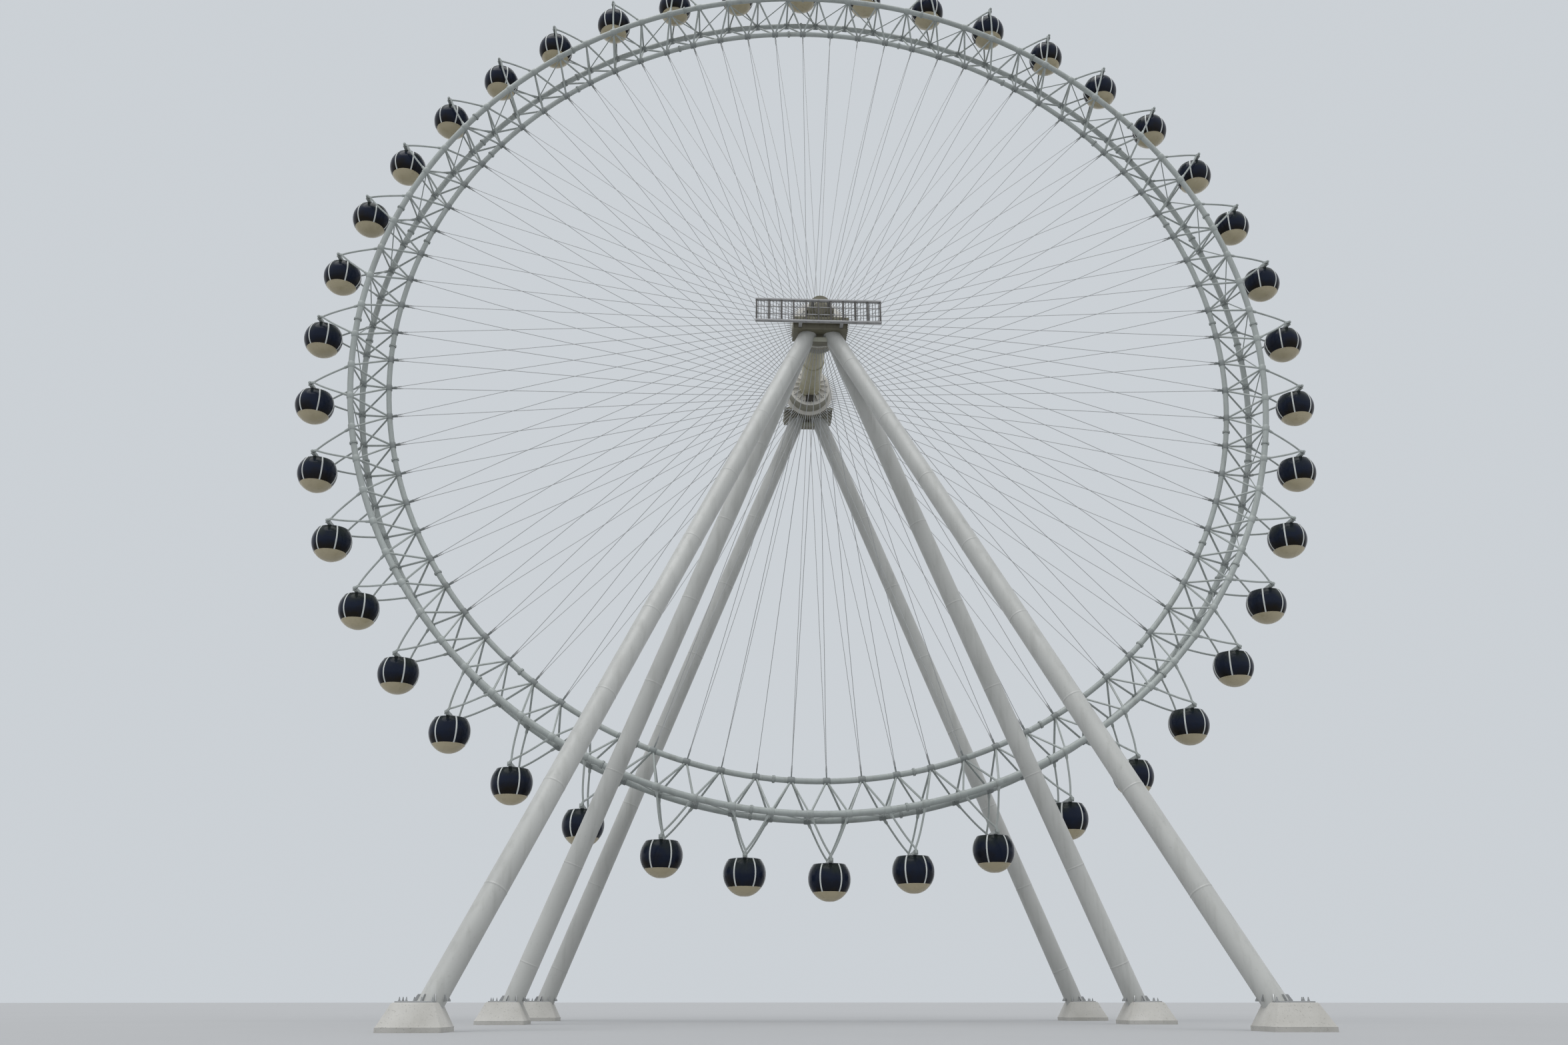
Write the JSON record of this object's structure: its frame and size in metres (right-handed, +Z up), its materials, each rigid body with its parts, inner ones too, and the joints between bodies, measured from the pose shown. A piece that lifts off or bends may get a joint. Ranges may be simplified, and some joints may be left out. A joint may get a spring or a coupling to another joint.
{
  "type": "ferris wheel scale model 1:10",
  "caption": "Cable-spoked ferris wheel with a trussed rim, ball-shaped cabins that stay level as it turns, and tubular legs splayed at the front.",
  "frame": {"origin": "on the ground, at the middle of the bounding box's width and depth", "axes": "+Z up, +Y from front to back along the wheel's axis, +X to the right seen from the front"},
  "size_m": [8.0014, 3.628, 8.7622],
  "materials": {
    "white_paint": "satin",
    "cable_steel": "satin",
    "hub_paint": "satin",
    "leg_paint": "satin",
    "sign_paint": "satin",
    "cabin_shell": "gloss"
  },
  "bodies": {
    "support": {"front_left_legs": "leg_paint", "front_right_legs": "leg_paint", "back_left_leg": "leg_paint", "back_right_leg": "leg_paint", "front_head": "hub_paint", "back_head": "hub_paint", "sign_frame": "sign_paint"},
    "wheel": {"rim_inner_chord": "white_paint", "rim_front_truss": "white_paint", "rim_back_truss": "white_paint", "rim_cross_web": "white_paint", "front_spokes_top": "cable_steel", "front_spokes_right": "cable_steel", "front_spokes_left": "cable_steel", "back_spokes_top": "cable_steel", "back_spokes_right": "cable_steel", "back_spokes_left": "cable_steel", "spindle": "hub_paint"},
    "cabin_01": {"cabin_01": "cabin_shell"},
    "cabin_02": {"cabin_02": "cabin_shell"},
    "cabin_03": {"cabin_03": "cabin_shell"},
    "cabin_04": {"cabin_04": "cabin_shell"},
    "cabin_05": {"cabin_05": "cabin_shell"},
    "cabin_06": {"cabin_06": "cabin_shell"},
    "cabin_07": {"cabin_07": "cabin_shell"},
    "cabin_08": {"cabin_08": "cabin_shell"},
    "cabin_09": {"cabin_09": "cabin_shell"},
    "cabin_10": {"cabin_10": "cabin_shell"},
    "cabin_11": {"cabin_11": "cabin_shell"},
    "cabin_12": {"cabin_12": "cabin_shell"},
    "cabin_13": {"cabin_13": "cabin_shell"},
    "cabin_14": {"cabin_14": "cabin_shell"},
    "cabin_15": {"cabin_15": "cabin_shell"},
    "cabin_16": {"cabin_16": "cabin_shell"},
    "cabin_17": {"cabin_17": "cabin_shell"},
    "cabin_18": {"cabin_18": "cabin_shell"},
    "cabin_19": {"cabin_19": "cabin_shell"},
    "cabin_20": {"cabin_20": "cabin_shell"},
    "cabin_21": {"cabin_21": "cabin_shell"},
    "cabin_22": {"cabin_22": "cabin_shell"},
    "cabin_23": {"cabin_23": "cabin_shell"},
    "cabin_24": {"cabin_24": "cabin_shell"},
    "cabin_25": {"cabin_25": "cabin_shell"},
    "cabin_26": {"cabin_26": "cabin_shell"},
    "cabin_27": {"cabin_27": "cabin_shell"},
    "cabin_28": {"cabin_28": "cabin_shell"},
    "cabin_29": {"cabin_29": "cabin_shell"},
    "cabin_30": {"cabin_30": "cabin_shell"},
    "cabin_31": {"cabin_31": "cabin_shell"},
    "cabin_32": {"cabin_32": "cabin_shell"},
    "cabin_33": {"cabin_33": "cabin_shell"},
    "cabin_34": {"cabin_34": "cabin_shell"},
    "cabin_35": {"cabin_35": "cabin_shell"},
    "cabin_36": {"cabin_36": "cabin_shell"},
    "cabin_37": {"cabin_37": "cabin_shell"},
    "cabin_38": {"cabin_38": "cabin_shell"},
    "cabin_39": {"cabin_39": "cabin_shell"},
    "cabin_40": {"cabin_40": "cabin_shell"},
    "cabin_41": {"cabin_41": "cabin_shell"},
    "cabin_42": {"cabin_42": "cabin_shell"}
  },
  "joints": [
    {"name": "wheel_spin", "type": "hinge", "parent": "support", "child": "wheel", "pos_m": [0, 0.952, 4.88], "axis": [0, 1, 0], "continuous": true},
    {"name": "cabin_01_level", "type": "hinge", "parent": "wheel", "child": "cabin_01", "pos_m": [-0.07632, 0.952, 8.74925], "axis": [0, 1, 0], "continuous": true},
    {"name": "cabin_02_level", "type": "hinge", "parent": "wheel", "child": "cabin_02", "pos_m": [0.50121, 0.952, 8.71741], "axis": [0, 1, 0], "continuous": true},
    {"name": "cabin_03_level", "type": "hinge", "parent": "wheel", "child": "cabin_03", "pos_m": [1.06755, 0.952, 8.59984], "axis": [0, 1, 0], "continuous": true},
    {"name": "cabin_04_level", "type": "hinge", "parent": "wheel", "child": "cabin_04", "pos_m": [1.61004, 0.952, 8.39918], "axis": [0, 1, 0], "continuous": true},
    {"name": "cabin_05_level", "type": "hinge", "parent": "wheel", "child": "cabin_05", "pos_m": [2.11657, 0.952, 8.11992], "axis": [0, 1, 0], "continuous": true},
    {"name": "cabin_06_level", "type": "hinge", "parent": "wheel", "child": "cabin_06", "pos_m": [2.57581, 0.952, 7.76827], "axis": [0, 1, 0], "continuous": true},
    {"name": "cabin_07_level", "type": "hinge", "parent": "wheel", "child": "cabin_07", "pos_m": [2.97751, 0.952, 7.35211], "axis": [0, 1, 0], "continuous": true},
    {"name": "cabin_08_level", "type": "hinge", "parent": "wheel", "child": "cabin_08", "pos_m": [3.31271, 0.952, 6.88072], "axis": [0, 1, 0], "continuous": true},
    {"name": "cabin_09_level", "type": "hinge", "parent": "wheel", "child": "cabin_09", "pos_m": [3.5739, 0.952, 6.36464], "axis": [0, 1, 0], "continuous": true},
    {"name": "cabin_10_level", "type": "hinge", "parent": "wheel", "child": "cabin_10", "pos_m": [3.75525, 0.952, 5.81539], "axis": [0, 1, 0], "continuous": true},
    {"name": "cabin_11_level", "type": "hinge", "parent": "wheel", "child": "cabin_11", "pos_m": [3.85272, 0.952, 5.24526], "axis": [0, 1, 0], "continuous": true},
    {"name": "cabin_12_level", "type": "hinge", "parent": "wheel", "child": "cabin_12", "pos_m": [3.86413, 0.952, 4.66696], "axis": [0, 1, 0], "continuous": true},
    {"name": "cabin_13_level", "type": "hinge", "parent": "wheel", "child": "cabin_13", "pos_m": [3.78922, 0.952, 4.09342], "axis": [0, 1, 0], "continuous": true},
    {"name": "cabin_14_level", "type": "hinge", "parent": "wheel", "child": "cabin_14", "pos_m": [3.62966, 0.952, 3.53745], "axis": [0, 1, 0], "continuous": true},
    {"name": "cabin_15_level", "type": "hinge", "parent": "wheel", "child": "cabin_15", "pos_m": [3.38903, 0.952, 3.01147], "axis": [0, 1, 0], "continuous": true},
    {"name": "cabin_16_level", "type": "hinge", "parent": "wheel", "child": "cabin_16", "pos_m": [3.07268, 0.952, 2.52723], "axis": [0, 1, 0], "continuous": true},
    {"name": "cabin_17_level", "type": "hinge", "parent": "wheel", "child": "cabin_17", "pos_m": [2.6877, 0.952, 2.09555], "axis": [0, 1, 0], "continuous": true},
    {"name": "cabin_18_level", "type": "hinge", "parent": "wheel", "child": "cabin_18", "pos_m": [2.24268, 0.952, 1.72607], "axis": [0, 1, 0], "continuous": true},
    {"name": "cabin_19_level", "type": "hinge", "parent": "wheel", "child": "cabin_19", "pos_m": [1.74757, 0.952, 1.42704], "axis": [0, 1, 0], "continuous": true},
    {"name": "cabin_20_level", "type": "hinge", "parent": "wheel", "child": "cabin_20", "pos_m": [1.21341, 0.952, 1.20515], "axis": [0, 1, 0], "continuous": true},
    {"name": "cabin_21_level", "type": "hinge", "parent": "wheel", "child": "cabin_21", "pos_m": [0.65215, 0.952, 1.06534], "axis": [0, 1, 0], "continuous": true},
    {"name": "cabin_22_level", "type": "hinge", "parent": "wheel", "child": "cabin_22", "pos_m": [0.07632, 0.952, 1.01075], "axis": [0, 1, 0], "continuous": true},
    {"name": "cabin_23_level", "type": "hinge", "parent": "wheel", "child": "cabin_23", "pos_m": [-0.50121, 0.952, 1.04259], "axis": [0, 1, 0], "continuous": true},
    {"name": "cabin_24_level", "type": "hinge", "parent": "wheel", "child": "cabin_24", "pos_m": [-1.06755, 0.952, 1.16016], "axis": [0, 1, 0], "continuous": true},
    {"name": "cabin_25_level", "type": "hinge", "parent": "wheel", "child": "cabin_25", "pos_m": [-1.61004, 0.952, 1.36082], "axis": [0, 1, 0], "continuous": true},
    {"name": "cabin_26_level", "type": "hinge", "parent": "wheel", "child": "cabin_26", "pos_m": [-2.11657, 0.952, 1.64009], "axis": [0, 1, 0], "continuous": true},
    {"name": "cabin_27_level", "type": "hinge", "parent": "wheel", "child": "cabin_27", "pos_m": [-2.57581, 0.952, 1.99173], "axis": [0, 1, 0], "continuous": true},
    {"name": "cabin_28_level", "type": "hinge", "parent": "wheel", "child": "cabin_28", "pos_m": [-2.97751, 0.952, 2.40789], "axis": [0, 1, 0], "continuous": true},
    {"name": "cabin_29_level", "type": "hinge", "parent": "wheel", "child": "cabin_29", "pos_m": [-3.31271, 0.952, 2.87928], "axis": [0, 1, 0], "continuous": true},
    {"name": "cabin_30_level", "type": "hinge", "parent": "wheel", "child": "cabin_30", "pos_m": [-3.5739, 0.952, 3.39536], "axis": [0, 1, 0], "continuous": true},
    {"name": "cabin_31_level", "type": "hinge", "parent": "wheel", "child": "cabin_31", "pos_m": [-3.75525, 0.952, 3.94461], "axis": [0, 1, 0], "continuous": true},
    {"name": "cabin_32_level", "type": "hinge", "parent": "wheel", "child": "cabin_32", "pos_m": [-3.85272, 0.952, 4.51474], "axis": [0, 1, 0], "continuous": true},
    {"name": "cabin_33_level", "type": "hinge", "parent": "wheel", "child": "cabin_33", "pos_m": [-3.86413, 0.952, 5.09304], "axis": [0, 1, 0], "continuous": true},
    {"name": "cabin_34_level", "type": "hinge", "parent": "wheel", "child": "cabin_34", "pos_m": [-3.78922, 0.952, 5.66658], "axis": [0, 1, 0], "continuous": true},
    {"name": "cabin_35_level", "type": "hinge", "parent": "wheel", "child": "cabin_35", "pos_m": [-3.62966, 0.952, 6.22255], "axis": [0, 1, 0], "continuous": true},
    {"name": "cabin_36_level", "type": "hinge", "parent": "wheel", "child": "cabin_36", "pos_m": [-3.38903, 0.952, 6.74853], "axis": [0, 1, 0], "continuous": true},
    {"name": "cabin_37_level", "type": "hinge", "parent": "wheel", "child": "cabin_37", "pos_m": [-3.07268, 0.952, 7.23277], "axis": [0, 1, 0], "continuous": true},
    {"name": "cabin_38_level", "type": "hinge", "parent": "wheel", "child": "cabin_38", "pos_m": [-2.6877, 0.952, 7.66445], "axis": [0, 1, 0], "continuous": true},
    {"name": "cabin_39_level", "type": "hinge", "parent": "wheel", "child": "cabin_39", "pos_m": [-2.24268, 0.952, 8.03393], "axis": [0, 1, 0], "continuous": true},
    {"name": "cabin_40_level", "type": "hinge", "parent": "wheel", "child": "cabin_40", "pos_m": [-1.74757, 0.952, 8.33296], "axis": [0, 1, 0], "continuous": true},
    {"name": "cabin_41_level", "type": "hinge", "parent": "wheel", "child": "cabin_41", "pos_m": [-1.21341, 0.952, 8.55485], "axis": [0, 1, 0], "continuous": true},
    {"name": "cabin_42_level", "type": "hinge", "parent": "wheel", "child": "cabin_42", "pos_m": [-0.65215, 0.952, 8.69466], "axis": [0, 1, 0], "continuous": true}
  ],
  "couplings": [
    {"joint": "cabin_01_level", "follows": "wheel_spin", "ratio": -1},
    {"joint": "cabin_02_level", "follows": "wheel_spin", "ratio": -1},
    {"joint": "cabin_03_level", "follows": "wheel_spin", "ratio": -1},
    {"joint": "cabin_04_level", "follows": "wheel_spin", "ratio": -1},
    {"joint": "cabin_05_level", "follows": "wheel_spin", "ratio": -1},
    {"joint": "cabin_06_level", "follows": "wheel_spin", "ratio": -1},
    {"joint": "cabin_07_level", "follows": "wheel_spin", "ratio": -1},
    {"joint": "cabin_08_level", "follows": "wheel_spin", "ratio": -1},
    {"joint": "cabin_09_level", "follows": "wheel_spin", "ratio": -1},
    {"joint": "cabin_10_level", "follows": "wheel_spin", "ratio": -1},
    {"joint": "cabin_11_level", "follows": "wheel_spin", "ratio": -1},
    {"joint": "cabin_12_level", "follows": "wheel_spin", "ratio": -1},
    {"joint": "cabin_13_level", "follows": "wheel_spin", "ratio": -1},
    {"joint": "cabin_14_level", "follows": "wheel_spin", "ratio": -1},
    {"joint": "cabin_15_level", "follows": "wheel_spin", "ratio": -1},
    {"joint": "cabin_16_level", "follows": "wheel_spin", "ratio": -1},
    {"joint": "cabin_17_level", "follows": "wheel_spin", "ratio": -1},
    {"joint": "cabin_18_level", "follows": "wheel_spin", "ratio": -1},
    {"joint": "cabin_19_level", "follows": "wheel_spin", "ratio": -1},
    {"joint": "cabin_20_level", "follows": "wheel_spin", "ratio": -1},
    {"joint": "cabin_21_level", "follows": "wheel_spin", "ratio": -1},
    {"joint": "cabin_22_level", "follows": "wheel_spin", "ratio": -1},
    {"joint": "cabin_23_level", "follows": "wheel_spin", "ratio": -1},
    {"joint": "cabin_24_level", "follows": "wheel_spin", "ratio": -1},
    {"joint": "cabin_25_level", "follows": "wheel_spin", "ratio": -1},
    {"joint": "cabin_26_level", "follows": "wheel_spin", "ratio": -1},
    {"joint": "cabin_27_level", "follows": "wheel_spin", "ratio": -1},
    {"joint": "cabin_28_level", "follows": "wheel_spin", "ratio": -1},
    {"joint": "cabin_29_level", "follows": "wheel_spin", "ratio": -1},
    {"joint": "cabin_30_level", "follows": "wheel_spin", "ratio": -1},
    {"joint": "cabin_31_level", "follows": "wheel_spin", "ratio": -1},
    {"joint": "cabin_32_level", "follows": "wheel_spin", "ratio": -1},
    {"joint": "cabin_33_level", "follows": "wheel_spin", "ratio": -1},
    {"joint": "cabin_34_level", "follows": "wheel_spin", "ratio": -1},
    {"joint": "cabin_35_level", "follows": "wheel_spin", "ratio": -1},
    {"joint": "cabin_36_level", "follows": "wheel_spin", "ratio": -1},
    {"joint": "cabin_37_level", "follows": "wheel_spin", "ratio": -1},
    {"joint": "cabin_38_level", "follows": "wheel_spin", "ratio": -1},
    {"joint": "cabin_39_level", "follows": "wheel_spin", "ratio": -1},
    {"joint": "cabin_40_level", "follows": "wheel_spin", "ratio": -1},
    {"joint": "cabin_41_level", "follows": "wheel_spin", "ratio": -1},
    {"joint": "cabin_42_level", "follows": "wheel_spin", "ratio": -1}
  ]
}
